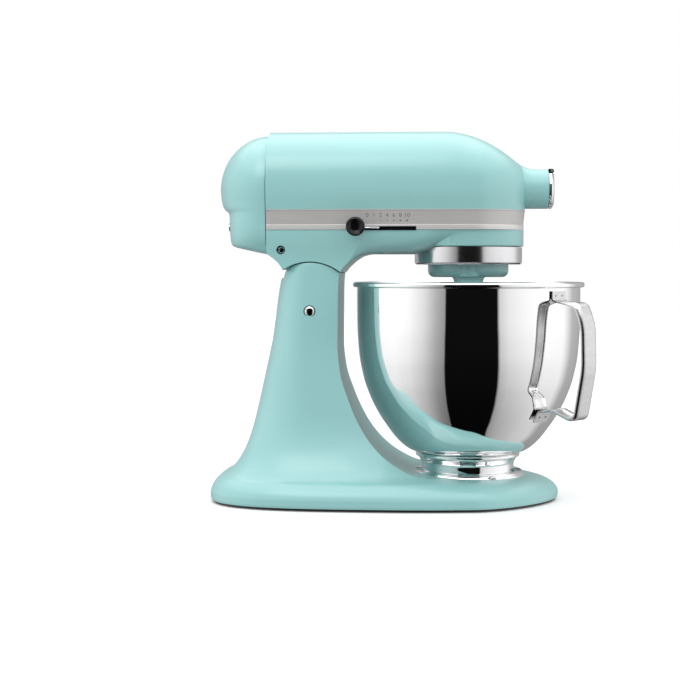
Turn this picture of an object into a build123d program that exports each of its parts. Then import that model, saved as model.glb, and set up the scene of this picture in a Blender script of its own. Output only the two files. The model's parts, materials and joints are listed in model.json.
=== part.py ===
from build123d import *
import math
import os

os.makedirs("parts", exist_ok=True)

# Tilt-head stand mixer. +X runs forward to the attachment hub, +Z up, -Y is the side of the speed
# lever. The origin is on the table below the middle of the object. All sizes are in millimetres.

# Driving dimensions
BX = 66.0            # bowl and planetary axis, forward of the origin
HEAD_TOP = 355.0     # height of the head's flat top
HEAD_LOW = 236.0     # underside of the arm
NOSE_LOW = 243.0     # underside of the nose
NOSE_R = 53.5        # nose radius about the bowl axis, at the trim band
HEAD_W = 59.0        # widest half width of the head
SEAM_X = BX - 197.0  # joint between housing and rear cover
WALL = 4.0           # wall of the cast housings
PIN_X, PIN_Z = BX - 149.0, 182.0   # tilt pin
DRUM_R = 45.5        # rounded top of the column, about the tilt pin
EAR_IN, COLUMN_W = 31.5, 49.0      # inner and outer half width of the column's two ears
BAND_LOW, BAND_TOP = 258.4, 277.4
BASE_TOP, BASE_LOW = 24.5, 3.0
BOWL_RIM_R, BOWL_RIM_Z = 111.0, 209.2
BOWL_BODY_R, BOWL_WALL = 107.0, 1.2
FOOT_R = 44.5        # bowl foot
CLAMP_R = 55.0
HUB_Z, HUB_R, HUB_END = 298.0, 18.75, BX + 76.0
MOTOR_Z = 272.0
MODULE = 1.5
HINGE_X, HINGE_Z = HUB_END + 2.9, HUB_Z + 16.9            # hinge of the hub's cover
RUN = 0.05           # radial running clearance
RING_TEETH, PLANET_TEETH = 46, 12
CENTER_TEETH, PINION_TEETH, WHEEL_TEETH, BEVEL_TEETH = 48, 16, 24, 18
OFFSET = MODULE * (RING_TEETH - PLANET_TEETH) / 2         # beater shaft off the bowl axis
WORM_R = 6.5
COUNTER_Y = WORM_R + MODULE * WHEEL_TEETH / 2             # countershaft, beside the worm
COUNTER_X = BX - math.sqrt((MODULE * (CENTER_TEETH + PINION_TEETH) / 2) ** 2 - COUNTER_Y ** 2)
WORM_TURN = 270.0      # turns that put the teeth in mesh, in degrees
PINION_TURN = 0.99
PLANET_TURN = 15.0
WHEEL_TURN = 0.0
TILT_CLEAR = 1.0     # gap between the column's drum and the head's cradle
LOCK_X, LOCK_Z = PIN_X + 19.5, PIN_Z + 14                 # lock lever's shaft


# Helpers
def block(x0, x1, y0, y1, z0, z1):
    return Pos((x0 + x1) / 2, (y0 + y1) / 2, (z0 + z1) / 2) * Box(x1 - x0, y1 - y0, z1 - z0)


def rod_z(r, z0, z1, x=BX, y=0.0):
    return Pos(x, y, (z0 + z1) / 2) * Cylinder(r, z1 - z0)


def rod_x(r, x0, x1, z, y=0.0):
    return Pos((x0 + x1) / 2, y, z) * Rot(0, 90, 0) * Cylinder(r, x1 - x0)


def rod_y(r, y0, y1, x, z):
    return Pos(x, (y0 + y1) / 2, z) * Rot(90, 0, 0) * Cylinder(r, y1 - y0)


def around(count, r, start=0.0, x=BX, y=0.0):
    """Points evenly spaced on a circle in plan."""
    angles = [math.radians(start + 360 * i / count) for i in range(count)]
    return [(x + r * math.cos(a), y + r * math.sin(a)) for a in angles]


def spin_profile(points, x=BX, arc=360.0, start=0.0):
    """Turns a closed outline of (radius, height) points about the vertical at x."""
    face = make_face(Polyline(*[(r, 0, z) for r, z in points], close=True).edges())
    turned = Rot(0, 0, start) * revolve(face, Axis.Z, arc)
    return Pos(x, 0, 0) * turned


def prism_y(points, y0, y1):
    """Extrudes a closed outline of (x, z) points along Y."""
    face = make_face(Polyline(*[(x, y0, z) for x, z in points], close=True).edges())
    return extrude(face, amount=y1 - y0, dir=(0, 1, 0))


def save(name, shape):
    solids = shape.solids() if not isinstance(shape, list) else [s for p in shape for s in p.solids()]
    whole = solids[0] if len(solids) == 1 else Compound(children=solids)
    whole.label = name
    export_step(whole, f"parts/{name}.step")


# Gears
def gear_outline(teeth, low, high, play):
    """Involute outline between two radii. play thins every tooth, or widens it if negative."""
    pitch = MODULE * teeth / 2
    base = pitch * math.cos(math.radians(20))
    pressure = math.tan(math.radians(20)) - math.radians(20)
    flank = []
    for i in range(4):
        r = low + (high - low) * i / 3
        slope = math.acos(min(1.0, base / r))
        turn = math.pi / (2 * teeth) + pressure - (math.tan(slope) - slope) - play / (2 * r)
        flank.append((r, turn))
    points = []
    for k in range(teeth):
        middle = 2 * math.pi * k / teeth
        for r, turn in flank:
            points.append((r * math.cos(middle - turn), r * math.sin(middle - turn)))
        for r, turn in reversed(flank):
            points.append((r * math.cos(middle + turn), r * math.sin(middle + turn)))
    return points


def gear_face(teeth, low, high, play):
    return make_face(Polyline(*gear_outline(teeth, low, high, play), close=True).edges())


def spur_gear(teeth, z0, z1, bore, x, y, turn):
    pitch = MODULE * teeth / 2
    face = gear_face(teeth, pitch - 1.25 * MODULE, pitch + 0.9 * MODULE, 0.25)
    body = extrude(face, amount=z1 - z0) - Pos(0, 0, (z1 - z0) / 2) * Cylinder(bore, z1 - z0 + 2)
    return Pos(x, y, z0) * Rot(0, 0, turn) * body


def bevel_gear(bore, turn):
    """Mitre gear about +Z, its pitch cone's point at the origin, the teeth facing it."""
    pitch = MODULE * BEVEL_TEETH / 2
    face = gear_face(BEVEL_TEETH, pitch - 1.3 * MODULE, pitch + 0.75 * MODULE, 0.5)
    small = 0.58
    big = Pos(0, 0, -pitch) * face
    near = Pos(0, 0, -pitch * small) * scale(face, small)
    teeth = loft([big, near], ruled=True)
    back = Pos(0, 0, -pitch - 2.5) * Cylinder(pitch - 1.3 * MODULE, 5)
    return Rot(0, 0, turn) * (teeth + back - Pos(0, 0, -pitch) * Cylinder(bore, 60))


# Head shells
def head_outline(x, width, top, waist, low, inset=0.0):
    """Closed face across the head: flat bottom, upright band sides and an arched top."""
    w, t, b, f = width - inset, top - inset, low + inset, waist - inset
    shoulder = 297.0
    rise = t - shoulder
    start = (f * 0.72, b)
    side = Spline((x, *start), (x, f - 1.5, b + 9), (x, f, 262), (x, w - 1.5, 280), (x, w, shoulder),
                  tangents=[(0, 1, 0), (0, 0, 1)])
    arch = Spline((x, w, shoulder), (x, w * 0.93, shoulder + rise * 0.42),
                  (x, w * 0.68, shoulder + rise * 0.78), (x, w * 0.36, shoulder + rise * 0.95), (x, 0, t),
                  tangents=[(0, 0, 1), (0, -1, 0)])
    half = [Line((x, 0, b), (x, *start)), side, arch]
    edges = [e for piece in half for e in piece.edges()]
    mirrored = [mirror(e, Plane.XZ) for e in edges]
    return make_face(edges + mirrored)


def nose_outline(inset=0.0):
    """Half outline of the nose in (radius, height), turned about the bowl axis."""
    w, t, b = 57.5 - inset, HEAD_TOP - 3 - inset, NOSE_LOW + (inset if inset else 0.0)
    side = Spline((NOSE_R - inset - 1.5, 0, b), (NOSE_R - inset, 0, b + 3), (NOSE_R - inset, 0, 268),
                  (w - 1, 0, 284), (w, 0, 297), tangents=[(1, 0, 1), (0, 0, 1)])
    arch = Spline((w, 0, 297), (w * 0.93, 0, 318 - inset), (w * 0.66, 0, 335 - inset),
                  (w * 0.3, 0, 348 - inset), (0, 0, t), tangents=[(0, 0, 1), (-1, 0, 0)])
    lines = [Line((0, 0, b), (NOSE_R - inset - 1.5, 0, b)), side, arch, Line((0, 0, t), (0, 0, b))]
    return make_face([e for piece in lines for e in piece.edges()])


def head_volume(inset=0.0, low=HEAD_LOW):
    """The whole head forward of the seam, as one closed volume."""
    back = head_outline(SEAM_X, HEAD_W, HEAD_TOP, 54.5, low, inset)
    arm = extrude(back, amount=BX - 24 - SEAM_X, dir=(1, 0, 0))
    front = loft([head_outline(BX - 24, HEAD_W, HEAD_TOP, 54.5, low, inset),
                  head_outline(BX, 57.5, HEAD_TOP - 3, NOSE_R, NOSE_LOW, inset)])
    nose = Pos(BX, 0, 0) * Rot(0, 0, -90) * revolve(nose_outline(inset), Axis.Z, 180)
    return arm + front + nose


def neck():
    """The skirt that carries the head down to the column, with the tongue between its ears."""
    skirt = [(PIN_X - 48, HEAD_LOW + 8), (PIN_X - 39, 232), (PIN_X - 33, 227.6), (PIN_X - 29.5, 218),
             (PIN_X + 28, 218), (PIN_X + 33, 224.6), (PIN_X + 41, 231), (PIN_X + 49, 235),
             (PIN_X + 56, HEAD_LOW + 8)]
    body = prism_y(skirt, -COLUMN_W, COLUMN_W)
    body -= rod_y(DRUM_R + TILT_CLEAR, -60, 60, PIN_X, PIN_Z)
    tongue = [(PIN_X - 18, PIN_Z), (PIN_X - 26, HEAD_LOW), (PIN_X + 15, HEAD_LOW), (PIN_X + 13, PIN_Z)]
    stem = prism_y(tongue, -EAR_IN + 1, EAR_IN - 1) + rod_y(18, -EAR_IN + 1, EAR_IN - 1, PIN_X, PIN_Z)
    return body + stem - rod_y(9, -60, 60, PIN_X, PIN_Z)


def hub_barrel():
    barrel = rod_x(HUB_R, BX + 40, HUB_END, HUB_Z)
    return barrel


def motor_housing():
    inner = head_volume(WALL) - block(SEAM_X - 1, PIN_X + 60, -80, 80, 0, 240)
    body = head_volume() + neck() + hub_barrel() - inner
    body -= rod_x(14, BX + 30, HUB_END + 1, HUB_Z)
    body -= rod_z(NOSE_R + 0.3, 200, NOSE_LOW)
    body -= rod_z(22, NOSE_LOW - 1, NOSE_LOW + WALL + 6)
    body -= rod_z(6, NOSE_LOW - 20, NOSE_LOW + WALL + 1, COUNTER_X, COUNTER_Y)
    body -= speed_slot()
    body -= rod_y(4.1, HUB_R - 6, HUB_R + 2, BX + 64, HUB_Z)
    body -= band_volume(0.0)
    for y in (-1, 1):
        body -= rod_y(3.3, min(y * 40, y * 60), max(y * 40, y * 60), BX - 176, 239.6)
    return body


def band_volume(grow):
    """The trim band's groove in the outside of the head, 1.2 deep."""
    deep = 1.2
    slab = block(SEAM_X - 5, BX + 80, -80, 80, BAND_LOW - grow, BAND_TOP + grow)
    return (head_volume() - head_volume(deep)) & slab


def speed_slot():
    return block(BX - 108, BX - 49, -70, -40, 257.4, 261.6)


def trim_band():
    return band_volume(0.0) - block(BX - 108, BX - 49, -70, -40, 257.0, 261.6)


def rear_volume(inset=0.0):
    """Domed upper part, half an ellipsoid, over a squarer lower part."""
    dome = scale(Sphere(1), (42 - inset, 57.5 - inset, 55 - inset))
    dome = Pos(SEAM_X, 0, 297) * dome & block(SEAM_X - 60, SEAM_X, -80, 80, 200, 400)
    lower = extrude(head_outline(SEAM_X, 57.5, 352, 53.5, HEAD_LOW, inset), amount=45, dir=(-1, 0, 0))
    side = [(SEAM_X, HEAD_LOW - 2), (BX - 208 + inset / 2, 239.5 + inset), (BX - 222 + inset, 243.5 + inset),
            (BX - 228 + inset, 249), (BX - 229 + inset, 256), (BX - 229 + inset, 274), (BX - 224, 280),
            (SEAM_X, 280)]
    plan = [(SEAM_X, 60), (BX - 216, 60), (BX - 229 + inset, 40 - inset), (BX - 229 + inset, inset - 40),
            (BX - 216, -60), (SEAM_X, -60)]
    outline = make_face(Polyline(*[(x, y, 200) for x, y in plan], close=True).edges())
    return dome + (lower & prism_y(side, -60, 60) & extrude(outline, amount=100))


def rear_cover():
    body = rear_volume() - rear_volume(3.0)
    body -= rod_z(6.4, 230, 256, BX - 214, 22)
    body -= rod_x(4.0, BX - 245, BX - 229.0, 262)
    return body - rod_x(2.15, BX - 245, BX - 220, 262)


def rear_cover_screw():
    return rod_x(4.0, BX - 231.5, BX - 229.0, 262) + rod_x(2.15, BX - 229.0, BX - 214, 262)


def side_screws():
    made = []
    for side in (-1, 1):
        head = rod_y(3.2, 47, 51, BX - 176, 239.6) + rod_y(1.8, 42, 47, BX - 176, 239.6)
        head -= block(BX - 179, BX - 173, 50, 52, 239.1, 240.1)
        made.append(head if side == 1 else mirror(head, Plane.XZ))
    return made


# Stand
def base_plan(z, inset=0.0):
    rows = [(-247, 0), (-245, 44), (-232, 74), (-169, 94), (-99, 100.6), (-47, 100.5), (0, 94.5), (40, 71),
            (70, 42), (83, 18), (87, 0)]
    middle = -90.0
    points = []
    for s, w in rows:
        shrink = 1 - inset / 105
        points.append((BX + middle + (s - middle) * shrink, w * shrink))
    ring = points + [(x, -y) for x, y in reversed(points[1:-1])]
    return Pos(0, 0, z) * make_face(Spline(*ring, periodic=True).edges())


def column_section(z, rear, front, half, corner):
    mid, length = BX + (rear + front) / 2, front - rear
    return Pos(mid, 0, z) * RectangleRounded(length, 2 * half, corner)


def column_volume(inset=0.0):
    rows = [(20, -240, -20, 92, 30), (45, -222, -60, 72, 24), (76, -206, -88, 62, 20),
            (120, -196, -113, 55, 17), (169, -186, -119, 51, 15), (228, -177, -119.5, COLUMN_W, 14)]
    faces = [column_section(z, r + inset, f - inset, h - inset, c - inset / 2) for z, r, f, h, c in rows]
    return loft(faces)


def base_stand():
    foot = loft([base_plan(BASE_LOW), base_plan(12.0, 0.4), base_plan(20.0, 5), base_plan(BASE_TOP, 14)])
    body = foot + column_volume()
    drum = rod_y(DRUM_R, -60, 60, PIN_X, PIN_Z)
    body -= block(BX - 230, BX - 100, -60, 60, 205, 240) - drum
    body -= block(PIN_X - 34, PIN_X + 25, -EAR_IN, EAR_IN, 150, 240)
    body -= block(PIN_X - 60, PIN_X - 30, -EAR_IN, EAR_IN, 175, 240)
    body -= column_volume(6.0) & block(BX - 260, BX, -100, 100, 15, 144)
    body -= extrude(base_plan(BASE_LOW - 1, 8), amount=14)
    body -= rod_z(CLAMP_R + 0.5, 19.0, 60)
    body -= rod_y(4.75, -60, 60, PIN_X, PIN_Z)
    body -= rod_y(4 + RUN, 20, 60, LOCK_X, LOCK_Z)
    for x, y in FEET:
        body += rod_z(7, BASE_LOW + 2, 16, x, y)
        body -= rod_z(1.6, BASE_LOW - 1, 14, x, y)
    for x, y in around(3, 30, 60):
        body -= rod_z(2.0, 10, 21, x, y)
    return body


FEET = [(BX - 222, 55), (BX - 222, -55), (BX - 60, 84), (BX - 60, -84), (BX + 66, 0)]


def base_plate():
    plate = extrude(base_plan(BASE_LOW, 8.5), amount=2)
    for x, y in FEET:
        plate -= rod_z(3.0, 2, 6, x, y)
    return plate


def rubber_feet():
    made = []
    for x, y in FEET:
        pad = rod_z(10, 0, 3, x, y) - rod_z(4.5, -1, 1.5, x, y) - rod_z(1.7, -1, 4, x, y)
        made.append(pad)
    return made


def foot_screws():
    made = []
    for x, y in FEET:
        made.append(rod_z(4.0, 0.5, 1.5, x, y) + rod_z(1.55, 1.5, 13, x, y))
    return made


def clamp_plate():
    """Bayonet plate: a floor, an outer wall and a lip with four gaps for the bowl's lugs."""
    outline = [(20, 19), (CLAMP_R, 19), (CLAMP_R, 25), (CLAMP_R - 2, 28), (46, 28), (45.3, 27.4),
               (45.3, 24.8), (51, 24.8), (51, 21), (20, 21)]
    plate = spin_profile(outline)
    for k in range(4):
        gap = spin_profile([(44, 24), (51, 24), (51, 30), (44, 30)], arc=22, start=90 * k - 11)
        plate -= gap
    for x, y in around(3, 30, 60):
        plate -= rod_z(2.2, 18, 22, x, y)
    return plate


def clamp_plate_screws():
    made = []
    for x, y in around(3, 30, 60):
        made.append(rod_z(3.8, 21, 22.8, x, y) + rod_z(1.95, 11, 21, x, y) - rod_z(1.2, 22, 24, x, y))
    return made


# Bowl
def bowl_wall(inset):
    """Wall line from the foot to the lip: two tangent arcs and a straight."""
    low = (48, 0, 45.5 + inset)
    knee = (84.5 - 0.75 * inset, 0, 79.5 + 0.66 * inset)
    high = (BOWL_BODY_R - inset, 0, 160)
    curve = Spline(low, knee, high, tangents=[(1, 0, 0.25), (0, 0, 1)], tangent_scalars=[1.1, 1.3])
    return curve.edges() + Line(high, (BOWL_BODY_R - inset, 0, 204)).edges()


def bowl_shell():
    """Outer wall points from the foot bead up to the rolled rim, and the same wall offset inward."""
    outer = bowl_wall(0.0)
    lip = [(BOWL_BODY_R, 204), (BOWL_RIM_R - 1, 204.2), (BOWL_RIM_R, 206.7), (BOWL_RIM_R - 1, BOWL_RIM_Z),
           (BOWL_BODY_R - BOWL_WALL, BOWL_RIM_Z)]
    rim = Polyline(*[(r, 0, z) for r, z in lip])
    inner_top = (BOWL_BODY_R - BOWL_WALL, 0, 204)
    drop = Line((BOWL_BODY_R - BOWL_WALL, 0, BOWL_RIM_Z), inner_top)
    inner = bowl_wall(BOWL_WALL)
    floor = Polyline((48, 0, 45.5 + BOWL_WALL), (0, 0, 45.5 + BOWL_WALL), (0, 0, 45.5), (48, 0, 45.5))
    edges = outer + inner + rim.edges() + drop.edges() + floor.edges()
    return Pos(BX, 0, 0) * revolve(make_face(edges), Axis.Z)


def bowl_foot():
    outline = [(FOOT_R - 1.4, 22), (FOOT_R, 22), (FOOT_R, 38), (47, 43), (50, 44.2), (50, 45.4),
               (46, 45.4), (FOOT_R - 1.4, 39)]
    foot = spin_profile(outline)
    for k in range(4):
        foot += spin_profile([(FOOT_R - 0.4, 22), (49.5, 22), (49.5, 24.4), (FOOT_R - 0.4, 24.4)],
                             arc=18, start=90 * k - 39)
    return foot


HANDLE_TURN = -41.0  # the handle's bearing from +X


def bowl_handle():
    """A bent steel strap with tabs spot-welded to the bowl wall."""
    path = [(107.2, 200), (107.2, 192.5), (134, 190), (139.5, 186), (143, 160), (143.6, 140), (141, 112),
            (134, 88), (128, 85.5), (106, 92.5), (92.5, 91.5), (86.8, 81)]
    back = [(108.8, 200), (108.8, 194.1), (134.4, 191.7), (141, 186.6), (144.6, 160), (145.2, 140),
            (142.6, 111.6), (135.2, 86.7), (128, 83.7), (106.2, 90.6), (93.6, 89.9), (88.2, 80.2)]
    face = make_face(Polyline(*[(r, 0, z) for r, z in path + back[::-1]], close=True).edges())
    strap = extrude(face, amount=10, dir=(0, 1, 0)) + extrude(face, amount=10, dir=(0, -1, 0))
    return Pos(BX, 0, 0) * Rot(0, 0, HANDLE_TURN) * strap


# Planetary
def planetary_housing():
    outline = [(6, 214), (31, 214), (36.7, 216.3), (39, 222), (39, 226), (24, 226), (24, 229), (13, 229),
               (13, 240), (6, 240)]
    body = spin_profile(outline)
    body += rod_z(12.5, 196, 226, BX, -OFFSET)
    body -= rod_z(6 + RUN, 190, 232, BX, -OFFSET)
    body -= rod_z(8.5, 224, 232, BX, -OFFSET)
    return body - rod_y(2, -20, 20, BX, 235)


def beater_shaft():
    shaft = rod_z(6, 172, 243, BX, -OFFSET)
    return shaft - rod_x(1.6, BX - 10, BX + 10, 181, -OFFSET)


def ring_gear():
    pitch = MODULE * RING_TEETH / 2
    hole = gear_face(RING_TEETH, pitch - 0.9 * MODULE, pitch + 1.3 * MODULE, -0.25)
    return Pos(BX, 0, 230) * (extrude(make_face(Circle(46).edges()), amount=12.8)
                              - Pos(0, 0, -1) * extrude(hole, amount=15))


def drip_ring():
    outline = [(46.2, 242.4), (46.2, 231), (48.6, 228.5), (49.6, 226.3), (50.75, 226.3), (50.75, 241.6),
               (50, 242.4)]
    return spin_profile(outline)


# Motor and gears
def worm():
    low, high = WORM_R - 1.8, WORM_R + 1.2
    lead = math.pi * MODULE
    turns = 4
    core = Cylinder(low, lead * turns + 8) - Cylinder(3, 60)
    path = Helix(pitch=lead, height=lead * turns, radius=low - 0.2)
    root, tip, tall = 1.22, 0.52, high - low + 0.2
    frame = Plane(origin=path @ 0, x_dir=(1, 0, 0), z_dir=path % 0)
    tooth = frame * make_face(Polyline((0, -root), (tall, -tip), (tall, tip), (0, root), close=True).edges())
    thread = sweep(tooth, path, is_frenet=True)
    whole = core + Pos(0, 0, -lead * turns / 2) * thread
    return Pos(COUNTER_X, 0, MOTOR_Z) * Rot(0, 90, 0) * Rot(0, 0, WORM_TURN) * whole


def field_core():
    core = rod_x(31, BX - 165, BX - 120, MOTOR_Z) - rod_x(25, BX - 170, BX - 110, MOTOR_Z)
    pole = rod_x(25.5, BX - 165, BX - 120, MOTOR_Z) - rod_x(19.8, BX - 170, BX - 110, MOTOR_Z)
    keep = block(BX - 170, BX - 110, -14, 14, MOTOR_Z - 40, MOTOR_Z + 40)
    return core + (pole & keep)


def field_coils():
    made = []
    for side in (-1, 1):
        arc = rod_x(24.8, BX - 171, BX - 114, MOTOR_Z) - rod_x(20.2, BX - 175, BX - 110, MOTOR_Z)
        low, high = sorted((side * 14.4, side * 40))
        made.append(arc & block(BX - 180, BX - 100, low, high, 200, 340))
    return made


def cooling_fan():
    fan = rod_x(9, BX - 112, BX - 104, MOTOR_Z) + rod_x(27, BX - 106, BX - 104.5, MOTOR_Z)
    for k in range(9):
        blade = block(BX - 112, BX - 105, -0.8, 0.8, 8, 27)
        fan += Pos(0, 0, MOTOR_Z) * Rot(40 * k, 0, 0) * blade
    return fan - rod_x(4, BX - 120, BX - 90, MOTOR_Z)


def commutator():
    body = rod_x(11, BX - 190, BX - 174, MOTOR_Z)
    for k in range(12):
        slit = block(BX - 191, BX - 176, -0.3, 0.3, 10, 12)
        body -= Pos(0, 0, MOTOR_Z) * Rot(30 * k, 0, 0) * slit
    return body - rod_x(4, BX - 195, BX - 170, MOTOR_Z)


def armature_core():
    core = rod_x(19, BX - 165, BX - 120, MOTOR_Z)
    for k in range(12):
        slot = block(BX - 166, BX - 119, -1.3, 1.3, 13, 20)
        core -= Pos(0, 0, MOTOR_Z) * Rot(30 * k, 0, 0) * slot
    return core - rod_x(4, BX - 170, BX - 110, MOTOR_Z)


def armature_shaft():
    shaft = rod_x(4, BX - 214, BX - 62, MOTOR_Z)
    return shaft + rod_x(3, BX - 62, COUNTER_X + 15, MOTOR_Z)


def bracket(x0, x1, bearing):
    plate = rod_x(33, x0, x1, MOTOR_Z) & block(x0 - 1, x1 + 1, -50, 50, 240.4, 320)
    plate += block(x0, x1, -46, 46, MOTOR_Z - 8, MOTOR_Z + 8)
    return plate - rod_x(bearing, x0 - 1, x1 + 1, MOTOR_Z)


def bearing_x(x0, x1, outer, inner):
    return rod_x(outer, x0, x1, MOTOR_Z) - rod_x(inner + RUN, x0 - 1, x1 + 1, MOTOR_Z)


def brush_set(r_out, y0, y1, r_in=0.0):
    made = []
    for low, high in ((y0, y1), (-y1, -y0)):
        tube = block(BX - 182 - r_out, BX - 182 + r_out, low, high, MOTOR_Z - r_out, MOTOR_Z + r_out)
        if r_in:
            tube -= block(BX - 182 - r_in, BX - 182 + r_in, low - 1, high + 1, MOTOR_Z - r_in, MOTOR_Z + r_in)
        made.append(tube)
    return made


def control_board():
    board = block(BX - 184, BX - 122, -28, 28, 312, 313.6)
    board += block(BX - 176, BX - 160, -20, -4, 313.6, 322) + rod_z(5, 313.6, 326, BX - 145, 10)
    return board + block(BX - 140, BX - 128, -22, -10, 313.6, 320)


def gear_bracket():
    plate = block(BX - 62, BX + 10, -12, 44, 258.6, 262.6) + rod_z(14, 258.6, 262.6)
    plate &= block(BX - 62, BX + 20, -20, 44, 250, 270)
    plate -= rod_z(6 + RUN, 250, 270)
    return plate - rod_z(4 + RUN, 250, 270, COUNTER_X, COUNTER_Y)


# Hub
def hub_shaft():
    shaft = rod_x(5, BX + 8.5, BX + 34, HUB_Z) + rod_x(9, BX + 34, BX + 58, HUB_Z)
    return shaft - block(BX + 44, BX + 60, -5.5, 5.5, HUB_Z - 5.5, HUB_Z + 5.5)


def hub_bushing():
    return rod_x(14, BX + 36, BX + 54, HUB_Z) - rod_x(9 + RUN, BX + 30, BX + 60, HUB_Z)


def hub_cover():
    disc = rod_x(19, HUB_END + 0.3, HUB_END + 3.5, HUB_Z) + rod_x(15.5, HUB_END + 3.5, HUB_END + 5.5, HUB_Z)
    disc -= block(HUB_END, HUB_END + 6, -20, 20, HUB_Z + 14.3, HUB_Z + 20)
    disc += block(HUB_END + 1.4, HUB_END + 4.4, -4.5, 4.5, HUB_Z + 12, HINGE_Z)
    return disc + rod_y(2.2, -4.5, 4.5, HINGE_X, HINGE_Z) - rod_y(1.2 + RUN, -10, 10, HINGE_X, HINGE_Z)


def hub_hinge():
    """Two ears on the barrel's end beside the cover's knuckle, and the pin between them."""
    ears = rod_y(1.2, -8, 8, HINGE_X, HINGE_Z)
    for low, high in ((-8, -4.8), (4.8, 8)):
        ears += rod_y(2.2, low, high, HINGE_X, HINGE_Z)
        ears += block(HUB_END, HINGE_X, low, high, HUB_Z + 15, HINGE_Z + 2.2)
    return ears


def hub_knob():
    knob = rod_y(11, 24, 38, BX + 64, HUB_Z)
    for k in range(8):
        a = math.radians(45 * k)
        knob -= rod_y(2.2, 22, 40, BX + 64 + 12 * math.cos(a), HUB_Z + 12 * math.sin(a))
    return knob


# Levers
def speed_knob():
    ball = rod_y(9, -72, -61.5, BX - 105, 261) - rod_y(6, -73, -70.5, BX - 105, 261)
    return ball


def speed_lever():
    arm = block(BX - 107, BX - 92, -61.4, -58.6, 258.6, 260.4)
    return arm + block(BX - 107, BX - 101, -61.4, -38, 257.8, 261.2)


def lock_lever():
    shaft = rod_y(4, 20, 55, LOCK_X, LOCK_Z)
    arm = prism_y([(LOCK_X - 4, LOCK_Z), (LOCK_X + 4, LOCK_Z), (LOCK_X + 2.5, LOCK_Z - 27),
                   (LOCK_X - 2.5, LOCK_Z - 27)], 51, 55)
    return shaft + rod_y(5.5, 51, 55, LOCK_X, LOCK_Z) + arm


def lock_knob():
    return rod_y(6, 55, 66, LOCK_X, LOCK_Z - 25)


def build():
    save("base_stand", base_stand())
    save("base_plate", base_plate())
    save("rubber_feet", rubber_feet())
    save("foot_screws", foot_screws())
    save("bowl_clamp_plate", clamp_plate())
    save("clamp_plate_screws", clamp_plate_screws())
    save("tilt_pin", rod_y(4.75, -COLUMN_W - 1.2, COLUMN_W + 1.2, PIN_X, PIN_Z))
    bushes = [rod_y(9, low, high, PIN_X, PIN_Z) - rod_y(4.75 + RUN, low - 1, high + 1, PIN_X, PIN_Z)
              for low, high in ((-30.5, -14), (14, 30.5))]
    save("pivot_bushings", bushes)
    save("bowl", bowl_shell())
    save("bowl_foot", bowl_foot())
    save("bowl_handle", bowl_handle())
    save("motor_housing", motor_housing())
    save("rear_cover", rear_cover())
    save("rear_cover_screw", rear_cover_screw())
    save("side_screws", side_screws())
    save("trim_band", trim_band())
    save("drip_ring", drip_ring())
    save("ring_gear", ring_gear())
    save("center_bearing", rod_z(22, 243, 248.2) - rod_z(6 + RUN, 240, 250))
    save("counter_bushing", rod_z(6, 243, 248, COUNTER_X, COUNTER_Y)
         - rod_z(4 + RUN, 240, 250, COUNTER_X, COUNTER_Y))
    save("gear_bracket", gear_bracket())
    save("motor_field", field_core())
    save("field_coils", field_coils())
    save("front_bracket", bracket(BX - 100, BX - 96, 9))
    save("rear_bracket", bracket(BX - 201, BX - 197, 9))
    save("motor_bearings", [bearing_x(BX - 100, BX - 94, 9, 4), bearing_x(BX - 203, BX - 197, 9, 4)])
    save("brush_holders", brush_set(5, 14, 40, 3.4))
    save("carbon_brushes", brush_set(3.3, 11.4, 26))
    save("control_board", control_board())
    save("hub_bushing", hub_bushing())
    save("hub_hinge", hub_hinge())
    gland = rod_z(6.4, 239.6, 251, BX - 214, 22) - rod_z(3.6, 230, 252, BX - 214, 22)
    save("cord_gland", gland)
    save("armature_shaft", armature_shaft())
    save("armature_core", armature_core())
    save("commutator", commutator())
    save("cooling_fan", cooling_fan())
    save("worm", worm())
    save("countershaft", rod_z(4, 244, 282, COUNTER_X, COUNTER_Y))
    save("worm_wheel", spur_gear(WHEEL_TEETH, MOTOR_Z - 3, MOTOR_Z + 3, 4, COUNTER_X, COUNTER_Y, WHEEL_TURN))
    save("counter_pinion", spur_gear(PINION_TEETH, 249.5, 258, 4, COUNTER_X, COUNTER_Y, PINION_TURN))
    save("planetary_housing", planetary_housing())
    save("center_shaft", rod_z(6, 214, 288))
    save("center_gear", spur_gear(CENTER_TEETH, 250, 257, 6, BX, 0, 0))
    save("center_bevel_gear", Pos(BX, 0, HUB_Z - 0.2) * bevel_gear(6, 0))
    save("planetary_pin", rod_y(2, -12.5, 12.5, BX, 235) - rod_z(6, 200, 260))
    save("beater_shaft", beater_shaft())
    save("planet_pinion", spur_gear(PLANET_TEETH, 230.5, 241, 6, BX, -OFFSET, PLANET_TURN))
    save("beater_pin", rod_x(1.6, BX - 10.5, BX + 10.5, 181, -OFFSET))
    save("hub_drive_shaft", hub_shaft())
    save("hub_bevel_gear", Pos(BX + 0.2, 0, HUB_Z) * Rot(0, -90, 0) * bevel_gear(5, 10))
    save("hub_cover", hub_cover())
    save("hub_knob", hub_knob())
    save("hub_knob_stud", rod_y(4.0, 14.5, 24, BX + 64, HUB_Z))
    save("speed_knob", speed_knob())
    save("speed_lever", speed_lever())
    save("lock_lever", lock_lever())
    save("lock_knob", lock_knob())


build()
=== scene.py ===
import json
import math

import bmesh
import bpy
from mathutils import Matrix, Vector


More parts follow.
